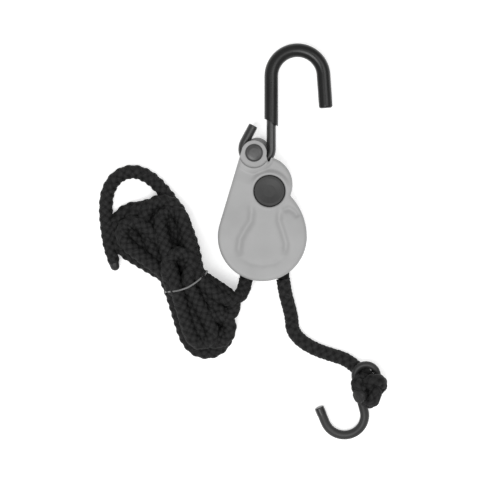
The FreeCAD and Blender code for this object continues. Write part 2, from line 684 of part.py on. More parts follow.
def upper_hook():
    z = size("mid_height")
    shank_top = (size("shank_x"), size("bend_y"))
    shank_foot = (size("shank_x"), size("loop_y"))
    loop = (size("shank_x") - size("loop_radius"), size("loop_y"))
    loop_end = polar(*loop, size("loop_radius"), size("loop_end"))
    loop_tip = polar(*loop_end, size("loop_leg"), size("loop_end") - 90.0)
    pieces = upper_hook_bend("hook_rod", "rod_radius", 0.0)
    pieces.append(rod_between("hook_shank", "rod_radius", shank_top, shank_foot, z))
    pieces.append(ring_arc("hook_loop", "loop_radius", "rod_radius",
                           360.0 - size("loop_end"), x="shank_x - loop_radius",
                           y="loop_y", z="mid_height", angle=size("loop_end")))
    pieces.append(rod_between("hook_loop_tip", "rod_radius", loop_end, loop_tip, z))
    rod = fuse("upper_hook_rod", pieces)
    part("upper_hook", round_end("upper_hook_rounded", rod, Vector(*loop_tip, z),
                                 "rod_end_round"))

    sleeve_low = (size("shank_x"), size("sleeve_start") - 6)
    pieces = upper_hook_bend("sleeve", "sleeve_radius", size("sleeve_end_wall"))
    pieces.append(rod_between("sleeve_shank", "sleeve_radius", shank_top, sleeve_low, z))
    outer = fuse("sleeve_outer", pieces)
    inner = upper_hook_bend("sleeve_bore", "sleeve_bore", 0.02)
    inner.append(rod_between("sleeve_bore_shank", "sleeve_bore", shank_top, shank_foot, z))
    hollow = cut("sleeve_hollow", outer, fuse("sleeve_inner", inner))
    slant = math.radians(size("sleeve_slant"))
    left = 16 * math.cos(slant) + 12 * math.sin(slant)
    down = 12 * math.cos(slant) - 16 * math.sin(slant)
    below = box("sleeve_slant_cut", "30", "12", "20", axis=(0, 0, 1),
                angle=-size("sleeve_slant"), x="shank_x - %g" % left,
                y="sleeve_start - %g" % down)
    trimmed = cut("sleeve_trimmed", hollow, below)
    tip = tip_leg_ends(size("sleeve_end_wall"))[1]
    part("upper_hook_sleeve", round_end("sleeve_rounded", trimmed, Vector(*tip, z),
                                        "sleeve_end_round"))


# ---------------------------------------------------------------- lower hook

def lower_hook_frame():
    """From the hook's own plane, with its eye at the origin, to where it lies."""
    heading = math.radians(size("slope_heading"))
    level = Vector(-math.sin(heading), math.cos(heading), 0)
    return Placement(Vector(size("eye_x"), size("eye_y"), size("eye_height")),
                     Rotation(level, size("hook_slope")))


def tilted(name, item):
    """An object's shape moved from the hook's plane to where the hook lies."""
    doc.recompute()
    moved = feature(name, item.Shape)
    moved.Placement = lower_hook_frame().multiply(moved.Placement)
    return moved


def lower_hook():
    jaw = (size("jaw_x"), size("jaw_y"))
    apart = math.hypot(*jaw)
    lean = math.degrees(math.asin((size("jaw_radius") + size("eye_radius")) / apart))
    heel = math.degrees(math.atan2(-jaw[1], -jaw[0])) + lean - 90.0
    leg_low = polar(*jaw, size("jaw_radius"), heel)
    leg_high = polar(0, 0, size("eye_radius"), heel + 180.0)
    jaw_left = polar(*jaw, size("jaw_radius"), size("jaw_end"))
    jaw_tip = polar(*jaw_left, size("jaw_leg"), size("jaw_end") - 90.0)
    closing = math.degrees(math.acos(1 - 2.05 * size("wire_radius") / size("eye_radius")))

    def jaw_pieces(name, radius, start, end):
        sweep = 360.0 + heel - size("jaw_end")
        return [rod_between(name + "_leg", radius, start, leg_low, 0),
                ring_arc(name + "_jaw", "jaw_radius", radius, sweep, x="jaw_x", y="jaw_y",
                         angle=size("jaw_end")),
                rod_between(name + "_tip", radius, jaw_left, end, 0)]

    eye = ring_arc("wire_eye", "eye_radius", "wire_radius", 360.0 - closing,
                   angle=heel + 180.0 + closing)
    wire = fuse("lower_wire", jaw_pieces("wire", "wire_radius", leg_high, jaw_tip) + [eye])
    bare = size("coat_bare_leg")
    leg_way = math.degrees(math.atan2(leg_low[1] - leg_high[1], leg_low[0] - leg_high[0]))
    coat_from = polar(*leg_high, bare, leg_way)
    cap_from = polar(*jaw_tip, -size("cap_length"), size("jaw_end") - 90.0)
    cap_end = polar(*jaw_tip, 0.8, size("jaw_end") - 90.0)
    coat = fuse("coat_outer", jaw_pieces("coat", "coat_radius", coat_from, cap_from))
    bore = fuse("coat_inner", jaw_pieces("bore", "coat_bore", leg_high, jaw_tip))
    cap = rod_between("cap_outer", "cap_radius", cap_from, cap_end, 0)
    part("lower_hook", tilted("lower_hook_wire", wire))
    part("lower_hook_coating", tilted("lower_hook_coat", cut("coat_cut", coat, bore)))
    cap_cut = round_end("cap_rounded", cut("cap_cut", cap, bore), Vector(*cap_end, 0),
                        "cap_end_round")
    part("lower_hook_cap", tilted("lower_hook_cap_piece", cap_cut))


# ---------------------------------------------------------------- rope

def tube_path(name, route):
    """Straight runs joined by arcs as large as the runs allow."""
    points = [Vector(*point) for point in route]
    runs = [(after - before).Length for before, after in zip(points, points[1:])]
    edges, radii, here = [], [], points[0]
    for i in range(1, len(points) - 1):
        before, corner, after = points[i - 1:i + 2]
        back = (before - corner).normalize()
        ahead = (after - corner).normalize()
        reach = 0.45 * min(runs[i - 1], runs[i])
        half_turn = (math.pi - back.getAngle(ahead)) / 2
        radii.append(reach / math.tan(half_turn))
        start, end = corner + back * reach, corner + ahead * reach
        inward = (back + ahead).normalize()
        middle = corner + inward * (radii[-1] / math.cos(half_turn) - radii[-1])
        edges.append(Part.LineSegment(here, start).toShape())
        edges.append(Part.Arc(start, middle, end).toShape())
        here = end
    edges.append(Part.LineSegment(here, points[-1]).toShape())
    path = Part.Wire(edges)
    print(name, "length %.1f" % path.Length, "radii", " ".join("%.1f" % r for r in radii))
    return path


def rope_tube(node, path):
    radius = size("rope_diameter") / 2
    start = path.Edges[0]
    way = start.tangentAt(start.FirstParameter)
    section = Part.Wire(Part.makeCircle(radius, start.valueAt(start.FirstParameter), way))
    solid = path.makePipeShell([section], True, True)
    expected = math.pi * radius ** 2 * path.Length
    if abs(solid.Volume / expected - 1) > 0.02:
        raise RuntimeError("%s holds %.3f of its volume" % (node, solid.Volume / expected))
    return part(node, feature(node + "_tube", solid))


def rope():
    z, x, pitch = size("mid_height"), size("sheave_x"), size("pitch_radius")
    left, right, low = x - pitch, x + pitch, size("rope_exit")
    over = Part.Arc(Vector(left, 0, z), Vector(x, pitch, z), Vector(right, 0, z))
    rope_tube("rope_in_housing", Part.Wire([
        Part.LineSegment(Vector(left, low, z), Vector(left, 0, z)).toShape(), over.toShape(),
        Part.LineSegment(Vector(right, 0, z), Vector(right, low, z)).toShape()]))
    rope_tube("rope_right_run", tube_path("rope_right_run", RIGHT_RUN))
    rope_tube("rope_left_run", tube_path("rope_left_run", LEFT_RUN))
    rope_tube("rope_free_end", tube_path("rope_free_end", FREE_END))
    way = Vector(*FREE_END[-1]) - Vector(*FREE_END[-2])
    tip = doc.addObject("Part::Cone", "rope_tip_cone")
    bind(tip, Radius1="rope_diameter / 2 - 0.1", Radius2="tip_radius", Height="tip_length")
    tip.Placement = Placement(Vector(*FREE_END[-1]), Rotation(Vector(0, 0, 1), way))
    part("rope_tip", tip)


def hank():
    """The tied bundle of turns as one smooth solid, narrow at its tie."""
    heading = math.radians(size("hank_heading"))
    along = Vector(math.cos(heading), math.sin(heading), 0)
    across = Vector(along.y, -along.x, 0)
    middle = Vector(size("tie_x"), size("tie_y"), 0)
    sections = []
    for distance, low, high, height in HANK_SECTIONS:
        centre = middle + along * distance + across * ((low + high) / 2)
        centre.z = HANK_FLOOR + height / 2
        half_width, half_height = (high - low) / 2, height / 2
        frame = Placement(centre, Rotation(across, Vector(0, 0, 1), along))
        flat = max(half_width, half_height), min(half_width, half_height)
        ellipse = Part.Ellipse(Vector(), *flat).toShape()
        if half_height > half_width:
            ellipse.rotate(Vector(), Vector(0, 0, 1), 90)
        ellipse.Placement = frame.multiply(ellipse.Placement)
        sections.append(Part.Wire(ellipse))
    part("rope_hank", feature("rope_hank_blob", Part.makeLoft(sections, True)))

    half = size("tie_half_width"), size("tie_half_height")
    thick = size("tie_thickness")
    band = [Part.Face(Part.Wire(Part.Ellipse(Vector(), half[0] + grow, half[1] + grow).toShape()))
            for grow in (thick, 0.0)]
    ring = band[0].cut(band[1]).extrude(Vector(0, 0, size("tie_width")))
    tie = part("hank_tie", feature("hank_tie_band", ring))
    frame = Placement(middle - along * (size("tie_width") / 2), Rotation(across, Vector(0, 0, 1), along))
    frame.Base.z = half[1] + thick + 0.02
    tie.Placement = frame


def stopper_knot():
    """A plain lump over the eye, cut flat where it bears on the hook."""
    ball = doc.addObject("Part::Ellipsoid", "knot_ball")
    bind(ball, Radius1="knot_half_z", Radius2="knot_half_x", Radius3="knot_half_y")
    place(ball, "knot_x", "knot_y", "knot_height")
    under = doc.addObject("Part::Box", "knot_under")
    under.Length, under.Width, under.Height = 80, 80, 40
    frame = lower_hook_frame()
    frame.Base = frame.multVec(Vector(-40, -40, size("knot_clearance") - 40))
    under.Placement = frame
    part("stopper_knot", cut("knot_cut", ball, under))


front_shell()
back_shell()
shell_screws()
sheave()
ratchet_wheel()
sheave_axle_parts()
pawl()
springs()
release_button()
release_wedge()
hook_pin()
upper_hook()
lower_hook()
rope()
hank()
stopper_knot()

doc.recompute()
for item in doc.Objects:
    if {"Invalid", "Error"} & set(item.State):
        raise RuntimeError("%s is %s" % (item.Label, item.State))
os.makedirs("parts", exist_ok=True)
for node, item in parts.items():
    shape = item.Shape
    if shape.isNull() or not shape.isValid() or not shape.Solids:
        raise RuntimeError(node + " has no valid shape")
for node, item in parts.items():
    item.Shape.exportStep("parts/%s.step" % node)
print(len(parts), "sub-parts written")
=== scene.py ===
"""Looks for the rope ratchet: braided rope, its hank and knot, moulded case, coated hooks.

Lengths in this file's tables are millimetres; everything given to Blender is metres.
"""
import bpy
import bmesh
import math
import numpy as np
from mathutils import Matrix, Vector


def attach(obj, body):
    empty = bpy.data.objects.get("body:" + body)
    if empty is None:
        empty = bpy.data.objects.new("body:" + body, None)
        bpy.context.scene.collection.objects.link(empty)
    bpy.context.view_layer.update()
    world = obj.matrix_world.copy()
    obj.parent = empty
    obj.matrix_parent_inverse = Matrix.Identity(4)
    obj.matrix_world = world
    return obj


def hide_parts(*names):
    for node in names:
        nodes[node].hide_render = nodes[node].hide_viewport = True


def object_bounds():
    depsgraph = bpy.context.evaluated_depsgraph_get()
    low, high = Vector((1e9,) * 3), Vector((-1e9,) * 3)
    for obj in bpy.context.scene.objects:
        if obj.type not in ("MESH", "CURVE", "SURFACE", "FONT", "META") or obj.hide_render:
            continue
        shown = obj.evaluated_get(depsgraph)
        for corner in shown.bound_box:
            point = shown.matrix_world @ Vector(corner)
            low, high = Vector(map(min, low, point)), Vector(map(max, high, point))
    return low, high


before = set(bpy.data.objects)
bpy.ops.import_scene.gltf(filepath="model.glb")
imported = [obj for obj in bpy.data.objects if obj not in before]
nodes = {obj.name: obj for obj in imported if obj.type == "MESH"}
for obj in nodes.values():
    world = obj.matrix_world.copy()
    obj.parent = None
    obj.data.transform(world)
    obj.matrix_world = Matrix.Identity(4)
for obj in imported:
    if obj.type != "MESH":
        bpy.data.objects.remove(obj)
cad_box = [list(corner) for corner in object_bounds()]
MM = 0.001
ROPE = 6.35  # the rope's nominal diameter

# ---------------------------------------------------------------- camera

VIEW_WIDTH = 246.4
CAMERA_HEIGHT = 1300.0
camera = bpy.data.objects.new("camera", bpy.data.cameras.new("camera"))
bpy.context.scene.collection.objects.link(camera)
bpy.context.scene.camera = camera
camera.data.sensor_width = 36.0
camera.data.lens = 36.0 * CAMERA_HEIGHT / VIEW_WIDTH
camera.data.clip_end = 20.0
camera.location = Vector((-10.0, -2.9, 9.0 + CAMERA_HEIGHT)) * MM
bpy.context.scene.view_settings.view_transform = "Standard"

# ---------------------------------------------------------------- rope routes

RIGHT_RUN = [
    (10.65, -21.4, 9.0), (11.5, -27.8, 8.4), (13.4, -34.6, 5.2), (15.1, -41.2, 3.4),
    (15.4, -47.8, 3.3), (19.9, -53.2, 3.3), (26.9, -57.3, 3.3), (34.9, -60.1, 3.3),
    (42.9, -62.4, 3.4), (49.6, -67.9, 3.6), (53.0, -70.4, 7.4), (53.2, -70.7, 13.2),
]
LEFT_RUN = [
    (-8.25, -21.4, 9.0), (-9.0, -26.6, 9.3), (-12.4, -31.4, 11.4), (-18.2, -32.0, 13.6),
]
FREE_END = [
    (-45.0, 16.6, 5.4), (-50.6, 23.9, 4.4), (-57.3, 30.6, 3.3), (-65.8, 34.0, 3.3),
    (-74.4, 30.9, 3.3), (-79.2, 22.9, 3.3), (-79.9, 12.9, 3.3), (-78.9, 3.0, 3.3),
    (-77.4, -6.3, 3.3), (-75.4, -13.4, 3.3),
]
TIE = (-38.9, -23.4)
HEADING = math.radians(116.0)  # the way the hank points from its tie

# Where the strands pass the tie, in the rope's order: distance across it, and height.
AT_TIE = [
    (6.4, 15.8), (-5.0, 16.8), (0.8, 17.4), (-7.9, 12.4), (8.2, 11.4), (-2.6, 12.6),
    (2.8, 12.4), (-8.2, 7.6), (3.0, 8.0), (-2.6, 8.2), (8.4, 7.2), (-7.6, 3.6),
    (1.2, 3.8), (-2.6, 3.8), (6.8, 3.8),
]
# The hank's loops, in the rope's order and by turns beyond the tie and before it: how far the
# loop reaches along the hank, its place across, its half width, and its height at three places.
FULLNESS = 1.05  # of a loop's control points, because the curve runs inside them
LOOPS = [
    (36.5, 8.6, 6.0, 14.0, 10.0, 13.4), (-31.5, -4.5, 5.6, 13.0, 9.8, 12.6),
    (15.5, 2.5, 6.4, 17.0, 16.8, 16.4), (-23.5, 15.0, 6.0, 11.4, 9.8, 11.0),
    (39.5, -15.0, 6.2, 12.4, 9.6, 10.0), (-34.5, 4.5, 7.6, 9.8, 7.6, 9.8),
    (43.5, 4.5, 9.6, 9.8, 8.6, 9.6), (-37.8, -2.0, 10.6, 3.5, 3.4, 3.5),
    (46.0, -14.2, 12.2, 3.6, 3.4, 3.6), (-29.5, 2.0, 4.8, 3.5, 3.4, 3.5),
    (34.5, 1.6, 6.0, 7.0, 8.2, 7.0), (-22.0, 13.0, 5.2, 4.2, 3.8, 3.8),
    (44.5, -5.0, 9.8, 6.4, 6.4, 6.4), (-31.5, 7.2, 4.8, 6.0, 7.6, 6.0),
]


def in_hank(along, across, height):
    """The point this far from the tie, along the hank and across it."""
    c, s = math.cos(HEADING), math.sin(HEADING)
    return (TIE[0] + along * c + across * s, TIE[1] + along * s - across * c, height)


def loop_points(before, after, loop):
    """Out from one strand at the tie, round one end of the hank and back to the next strand."""
    reach, across, half, *heights = loop
    outward = np.array((reach, across)) / math.hypot(reach, across)
    start = np.array((-outward[1], outward[0])) * half * FULLNESS
    centre = np.array((reach, across)) - outward * half
    turn = [centre + start * math.cos(a) + outward * half * FULLNESS * math.sin(a)
            for a in np.linspace(0.0, math.pi, 5)]
    levels = np.interp(range(5), (0, 2, 4), heights)
    points = [in_hank(*p, z) for p, z in zip(turn, levels)]

    def part_way(tie, side, height):
        """Between the tie and a loop's side, where the strands belly out a little."""
        share = np.array((0.0, tie[0])) * 0.42 + side * 0.6
        return in_hank(*share, tie[1] * 0.45 + height * 0.55)

    points.insert(0, part_way(before, turn[0], heights[0]))
    points.append(part_way(after, turn[-1], heights[2]))
    return points


def hank_points():
    """The whole hank: every strand at the tie, with a loop between each two."""
    points = []
    for i, (across, height) in enumerate(AT_TIE):
        points.append(in_hank(0.0, across, height))
        if i < len(LOOPS):
            points += loop_points(AT_TIE[i], AT_TIE[i + 1], LOOPS[i])
    return points


INTO_HANK = [(-24.4, -28.6, 15.2)]
OUT_OF_HANK = [in_hank(13.0, 11.0, 4.0), in_hank(26.0, 12.6, 4.6)]
LEFT_ROUTE = LEFT_RUN + INTO_HANK + hank_points() + OUT_OF_HANK + FREE_END


def line_along(route, step=0.5):
    """Points a step apart down a route's smooth curve, in metres, and the curve's length."""
    curve = bpy.data.curves.new("route", "CURVE")
    curve.dimensions = "3D"
    spline = curve.splines.new("NURBS")
    spline.points.add(len(route) - 1)
    for point, place in zip(spline.points, route):
        point.co = (*(Vector(place) * MM), 1.0)
    spline.order_u = 3
    spline.use_endpoint_u = True
    spline.resolution_u = 24
    holder = bpy.data.objects.new("route", curve)
    mesh = bpy.data.meshes.new_from_object(holder)
    line = np.array([v.co for v in mesh.vertices], float)
    bpy.data.objects.remove(holder)
    bpy.data.meshes.remove(mesh)
    bpy.data.curves.remove(curve)
    along = np.concatenate(([0.0], np.cumsum(np.linalg.norm(np.diff(line, axis=0), axis=1))))
    stops = np.linspace(0.0, along[-1], max(int(along[-1] / (step * MM)), 2))
    return np.stack([np.interp(stops, along, line[:, k]) for k in range(3)], 1), along[-1]


# ---------------------------------------------------------------- meshes

def new_object(name, vertices, faces, material, body):
    """A smooth-shaded object that rides on a body."""
    mesh = bpy.data.meshes.new(name)
    mesh.from_pydata([tuple(v) for v in vertices], [], [tuple(f) for f in faces])
    mesh.validate()
    mesh.shade_smooth()
    mesh.materials.append(material)
    piece = bpy.data.objects.new(name, mesh)
    bpy.context.scene.collection.objects.link(piece)
    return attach(piece, body)


def frames_along(line):
    """Two directions across a line at each of its points, turning as little as they can."""
    tangent = np.gradient(line, axis=0)
    tangent /= np.linalg.norm(tangent, axis=1)[:, None]
    one = np.cross(tangent[0], (0.31, 0.17, 0.93))  # no line here starts this way
    ones = []
    for t in tangent:
        one = one - t * one.dot(t)
        one /= np.linalg.norm(one)
        ones.append(one)
    ones = np.array(ones)
    return ones, np.cross(tangent, ones)


def rounded_end(name, line, radii, material, body):
    """A short, slightly uneven round piece along a line, with a radius at each of its points."""
    one, two = frames_along(line)
    sides = 32
    angle = np.arange(sides) * 2 * math.pi / sides
    wobble = 1 + 0.035 * np.sin(3 * angle + 0.7) + 0.02 * np.sin(7 * angle)
    rings = line[:, None, :] + (np.array(radii)[:, None, None] * wobble[None, :, None] * MM) * (
        np.cos(angle)[None, :, None] * one[:, None, :]
        + np.sin(angle)[None, :, None] * two[:, None, :])
    vertices = np.concatenate((rings.reshape(-1, 3), line[:1], line[-1:]))
    n = len(line)
    faces = [(i * sides + j, i * sides + (j + 1) % sides, (i + 1) * sides + (j + 1) % sides,
              (i + 1) * sides + j) for i in range(n - 1) for j in range(sides)]
    faces += [(n * sides, (j + 1) % sides, j) for j in range(sides)]
    faces += [(n * sides + 1, (n - 1) * sides + j, (n - 1) * sides + (j + 1) % sides)
              for j in range(sides)]
    return new_object(name, vertices, faces, material, body)


def straight(start, toward, steps):
    """Points from start along a direction, at the given distances, in metres."""
    direction = np.array(toward) / np.linalg.norm(toward)
    return np.array([np.array(start) + direction * s * MM for s in steps])


STRANDS = 4  # each way round
BRAID_PITCH = 4.2  # from one crossing to the next, along the rope
BRAID_DEPTH = 1.3  # how far the strands stand out
STRAND_FILL = 1.9  # less closes the gaps between strands, more opens them


def braid(along, around):
    """A plain braid over a round rope: height from 0 to 1, place across the strand on top and
    place along it. along is in pitches and around in turns."""
    a = around * STRANDS + along
    b = around * STRANDS - along
    i, j = np.round(a), np.round(b)

    def strand(off, rise):
        crown = np.sqrt(np.clip(1 - (STRAND_FILL * off) ** 2, 0, 1))
        return 0.5 * crown + 0.25 * (1 + rise)

    first = strand(a - i, np.cos(math.pi * (b - i)))
    second = strand(b - j, -np.cos(math.pi * (a - j)))
    top = first >= second
    return np.where(top, first, second), np.where(top, a - i, b - j), np.where(top, b, a)


def rope_tube(name, line, material, body, radius, sides=42):
    """A braided rope along a line, with a radius at each of its points, closed at both ends."""
    one, two = frames_along(line)
    along = np.concatenate(([0.0], np.cumsum(np.linalg.norm(np.diff(line, axis=0), axis=1)))) / MM
    turn = np.arange(sides) / sides
    height, across, down = braid(along[:, None] / BRAID_PITCH, turn[None, :])
    r = (radius[:, None] + BRAID_DEPTH * (1.2 * height - 0.8)) * MM
    angle = turn * 2 * math.pi
    rings = (line[:, None, :] + r[..., None] * (
        np.cos(angle)[None, :, None] * one[:, None, :]
        + np.sin(angle)[None, :, None] * two[:, None, :]))
    vertices = np.concatenate((rings.reshape(-1, 3), line[:1], line[-1:]))
    n, last = len(line), len(line) * sides
    faces = []
    for i in range(n - 1):
        row = i * sides
        for j in range(sides):
            k = (j + 1) % sides
            faces.append((row + j, row + k, row + sides + k, row + sides + j))
    for j in range(sides):
        k = (j + 1) % sides
        faces.append((last, k, j))
        faces.append((last + 1, (n - 1) * sides + j, (n - 1) * sides + k))
    piece = new_object(name, vertices, faces, material, body)
    values = np.zeros((len(vertices), 4), np.float32)
    # channel 0 is the strand height, which the rope material turns into painted shade between the
    # strands and painted light on their crowns
    values[:last, 0] = height.ravel()
    values[:last, 1] = across.ravel()
    values[:last, 2] = down.ravel() * 0.1
    values[:, 3] = 1.0
    layer = piece.data.attributes.new("braid", "FLOAT_COLOR", "POINT")
    layer.data.foreach_set("color", values.ravel())
    return piece


# ---------------------------------------------------------------- materials

def new_material(name, colour, roughness, **sockets):
    material = bpy.data.materials.new(name)
    material.use_nodes = True
    shader = material.node_tree.nodes["Principled BSDF"]
    shader.inputs["Base Color"].default_value = (*colour, 1.0)
    shader.inputs["Roughness"].default_value = roughness
    for socket, value in sockets.items():
        shader.inputs[socket.replace("_", " ")].default_value = value
    return material


def add_node(material, kind, **settings):
    node = material.node_tree.nodes.new(kind)
    for key, value in settings.items():
        if key in node.inputs:
            node.inputs[key].default_value = value
        else:
            setattr(node, key, value)
    return node


def wire(material, one, out, other, into):
    material.node_tree.links.new(one.outputs[out], other.inputs[into])


def noise(material, scale, detail=4.0):
    place = add_node(material, "ShaderNodeTexCoord")
    cloud = add_node(material, "ShaderNodeTexNoise", Scale=scale, Detail=detail)
    wire(material, place, "Object", cloud, "Vector")
    return cloud


def vary_colour(material, source, out, low, high, start=0.3, end=0.7):
    ramp = add_node(material, "ShaderNodeValToRGB")
    ramp.color_ramp.elements[0].position = start
    ramp.color_ramp.elements[1].position = end
    ramp.color_ramp.elements[0].color = (*low, 1.0)
    ramp.color_ramp.elements[1].color = (*high, 1.0)
    wire(material, source, out, ramp, "Fac")
    wire(material, ramp, "Color", material.node_tree.nodes["Principled BSDF"], "Base Color")


def vary_roughness(material, source, out, low, high):
    span = add_node(material, "ShaderNodeMapRange")
    span.inputs["To Min"].default_value = low
    span.inputs["To Max"].default_value = high
    wire(material, source, out, span, "Value")
    wire(material, span, "Result", material.node_tree.nodes["Principled BSDF"], "Roughness")


def add_bump(material, source, out, distance, strength=1.0):
    bump = add_node(material, "ShaderNodeBump", Strength=strength, Distance=distance)
    wire(material, source, out, bump, "Height")
    wire(material, bump, "Normal", material.node_tree.nodes["Principled BSDF"], "Normal")


def grey(level):
    return (level, level, level)


def moulded(name, dark, light, roughness, grain=2600.0, depth=0.00002, **sockets):
    """Moulded plastic: a fine even grain, with faint cloudy changes of shade and gloss."""
    material = new_material(name, light, roughness, **sockets)
    clouds = noise(material, 55.0, 3.0)
    vary_colour(material, clouds, "Fac", dark, light)
    vary_roughness(material, noise(material, 210.0), "Fac", roughness - 0.06, roughness + 0.07)
    add_bump(material, noise(material, grain, 2.0), "Fac", depth)
    return material


def metal(name, colour, roughness):
    """Plain metal with faint changes of gloss."""
    material = new_material(name, colour, roughness, Metallic=1.0)
    vary_roughness(material, noise(material, 420.0), "Fac", roughness - 0.07, roughness + 0.1)
    add_bump(material, noise(material, 1500.0, 2.0), "Fac", 0.00001)
    return material


def rope_material(name, dark, light, roughness):
    """Filaments along each braided strand, with painted shade down between the strands and painted
    light on the strands' crowns, both set by the strand height.
    """
    material = new_material(name, light, roughness, Specular_IOR_Level=0.12)
    layer = add_node(material, "ShaderNodeAttribute", attribute_name="braid")
    split = add_node(material, "ShaderNodeSeparateColor")
    wire(material, layer, "Color", split, "Color")
    stretch = add_node(material, "ShaderNodeMapping")
    stretch.inputs["Scale"].default_value = (0.0, 9.0, 12.0)
    wire(material, layer, "Color", stretch, "Vector")
    threads = add_node(material, "ShaderNodeTexNoise", Scale=1.0, Detail=3.0)
    wire(material, stretch, "Vector", threads, "Vector")
    fibre_streaks_and_painted_shade = add_node(material, "ShaderNodeMath", operation="MULTIPLY")
    wire(material, threads, "Fac", fibre_streaks_and_painted_shade, 0)
    wire(material, split, "Red", fibre_streaks_and_painted_shade, 1)
    # painted shade and light: the thread noise times the strand height, dark down in the gaps
    # between strands and light on their crowns
    vary_colour(material, fibre_streaks_and_painted_shade, 0, dark, light, 0.22, 0.52)
    add_bump(material, threads, "Fac", 0.00022, 0.7)
    return material


case_plastic = moulded("case_plastic", grey(0.274), grey(0.316), 0.48, Specular_IOR_Level=0.4)
button_plastic = moulded("button_plastic", grey(0.012), grey(0.018), 0.42,
                         Specular_IOR_Level=0.32)
steel_black = moulded("steel_black", grey(0.010), grey(0.018), 0.34, 900.0, 0.00001,
                      Coat_Weight=0.3, Coat_Roughness=0.25)
rivet_black = moulded("rivet_black", grey(0.030), grey(0.055), 0.36, 1500.0)
hook_vinyl = moulded("hook_vinyl", grey(0.004), grey(0.009), 0.28, 1200.0, 0.000012,
                     Specular_IOR_Level=0.3)
cap_vinyl = moulded("cap_vinyl", grey(0.008), grey(0.012), 0.3, 1200.0)
wire_coating = moulded("wire_coating", grey(0.016), grey(0.028), 0.46, 1300.0,
                       0.000015, Specular_IOR_Level=0.3)
rope_fibre = rope_material("rope_fibre", grey(0.0010), grey(0.020), 0.64)
melted_fibre = moulded("melted_fibre", grey(0.003), grey(0.017), 0.5, 900.0, 0.0003,
                       Specular_IOR_Level=0.3)
tie_plastic = moulded("tie_plastic", grey(0.12), grey(0.16), 0.35)
white_nylon = moulded("white_nylon", grey(0.62), grey(0.70), 0.38)
inner_steel = metal("inner_steel", grey(0.42), 0.32)
spring_steel = metal("spring_steel", grey(0.5), 0.25)
pawl_steel = metal("pawl_steel", grey(0.3), 0.38)
bronze = metal("bronze", (0.42, 0.25, 0.12), 0.35)

NODE_MATERIALS = {
    case_plastic: ("front_shell", "back_shell"),
    button_plastic: ("release_button", "release_wedge"),
    inner_steel: ("shell_screws", "sheave_axle", "pawl_pin"),
    rivet_black: ("hook_pin",),
    steel_black: ("upper_hook",),
    hook_vinyl: ("upper_hook_sleeve",),
    wire_coating: ("lower_hook", "lower_hook_coating"),
    cap_vinyl: ("lower_hook_cap",),
    white_nylon: ("sheave", "sheave_washers", "pin_washer", "button_retainer"),
    pawl_steel: ("ratchet_wheel", "pawl"),
    spring_steel: ("pawl_spring", "button_spring"),
    bronze: ("sheave_bush",),
    rope_fibre: ("rope_in_housing", "rope_right_run", "rope_left_run", "rope_hank",
                 "rope_free_end", "stopper_knot"),
    melted_fibre: ("rope_tip",),
    tie_plastic: ("hank_tie",),
}
for material, names in NODE_MATERIALS.items():
    for name in names:
        nodes[name].data.materials.clear()
        nodes[name].data.materials.append(material)

# ---------------------------------------------------------------- rope

left_line, left_length = line_along(LEFT_ROUTE)
from_end = np.linspace(left_length, 0.0, len(left_line)) / MM
narrowing = 0.2 * np.exp(-(from_end / 6.0) ** 2)  # where the free end was drawn out and melted
long_rope = rope_tube("rope_long", left_line, rope_fibre, "case", ROPE / 2 * (1 - narrowing))
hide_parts("rope_left_run", "rope_hank", "rope_free_end")

right_line, right_length = line_along(RIGHT_RUN)
load_rope = rope_tube("rope_load_end", right_line, rope_fibre, "case",
                      np.full(len(right_line), ROPE / 2))
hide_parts("rope_right_run")

KNOT_MIDDLE = (54.0, -76.8, 15.0)
KNOT_SPREAD, KNOT_RISE = 2.2, 2.9
KNOT_ROPE = 3.1  # the rope's radius in the knot


def knot_points():
    """An overhand knot's control points: a trefoil with a gap, where its two ends part."""
    points = []
    for t in np.linspace(0.30, 2 * math.pi - 0.35, 26):
        points.append((KNOT_MIDDLE[0] + KNOT_SPREAD * (math.sin(t) + 2 * math.sin(2 * t)),
                       KNOT_MIDDLE[1] + KNOT_SPREAD * (math.cos(t) - 2 * math.cos(2 * t)),
                       KNOT_MIDDLE[2] - KNOT_RISE * math.sin(3 * t)))
    return points


knot_path, _ = line_along(knot_points(), 0.4)
knot = rope_tube("knot", knot_path, rope_fibre, "case", np.full(len(knot_path), KNOT_ROPE),
                 sides=40)
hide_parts("stopper_knot")
knot_end = rounded_end(
    "knot_cut_end", straight((0.0514, -0.0790, 0.0166), (-0.60, -0.30, 0.62),
                             (0.0, 1.5, 3.0, 4.2, 4.9, 5.3, 5.5)),
    (2.8, 3.2, 3.5, 3.7, 3.5, 2.8, 0.9), melted_fibre, "case")

tip = rounded_end(
    "rope_melted_tip",
    straight(left_line[-1], left_line[-1] - left_line[-4],
             (-1.2, -0.4, 0.4, 1.3, 2.2, 3.0, 3.6, 3.9)),
    (2.4, 2.5, 2.45, 2.35, 2.2, 1.85, 1.2, 0.4), melted_fibre, "case")
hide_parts("rope_tip")

TIE_RING = [
    # across the hank, height and how far it bows along it
    (-9.8, 12.6, 0.2), (-7.6, 17.9, -0.9), (-4.0, 20.25, -2.0), (0.6, 20.8, -2.6),
    (5.6, 19.8, -1.9), (10.2, 17.0, -0.6), (12.2, 12.0, 0.4), (11.8, 7.6, 0.8),
    (10.6, 2.6, 0.6), (6.0, 0.75, 0.2), (0.0, 0.6, 0.0), (-6.0, 0.6, 0.0),
    (-10.4, 1.6, 0.2), (-11.6, 7.0, 0.4),
]


